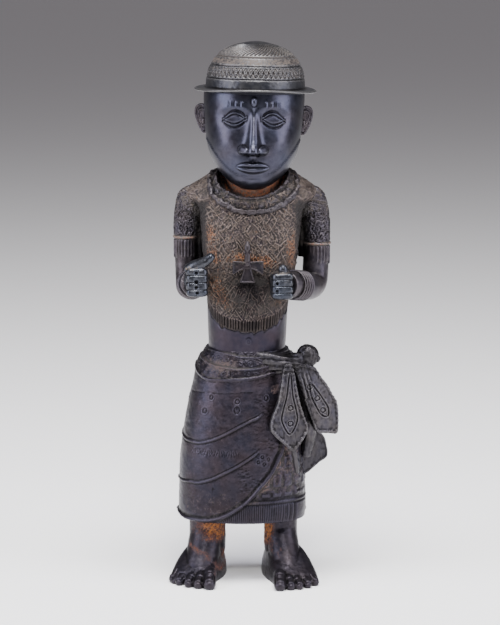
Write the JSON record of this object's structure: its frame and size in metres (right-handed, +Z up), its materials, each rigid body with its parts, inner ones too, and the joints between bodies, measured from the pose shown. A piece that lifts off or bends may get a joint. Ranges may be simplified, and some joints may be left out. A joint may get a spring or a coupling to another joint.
{
  "type": "standing court figure",
  "caption": "Standing cast brass court figure in a brimmed cap, a netted shirt with a cross at the chest, and a wrapper knotted at the hip, with both fists held forward.",
  "frame": {"origin": "on the ground under the middle of the figure's box", "axes": "+Z up from the soles to the crown of the cap; the figure faces -Y; its left hand is at +X"},
  "size_m": [0.1892, 0.1458, 0.5999],
  "materials": {
    "patinated_brass": "dark brown-black patina, worn smooth, with ochre earth left in the hollows"
  },
  "bodies": {
    "root": {"brass_figure": "patinated_brass"}
  },
  "joints": []
}
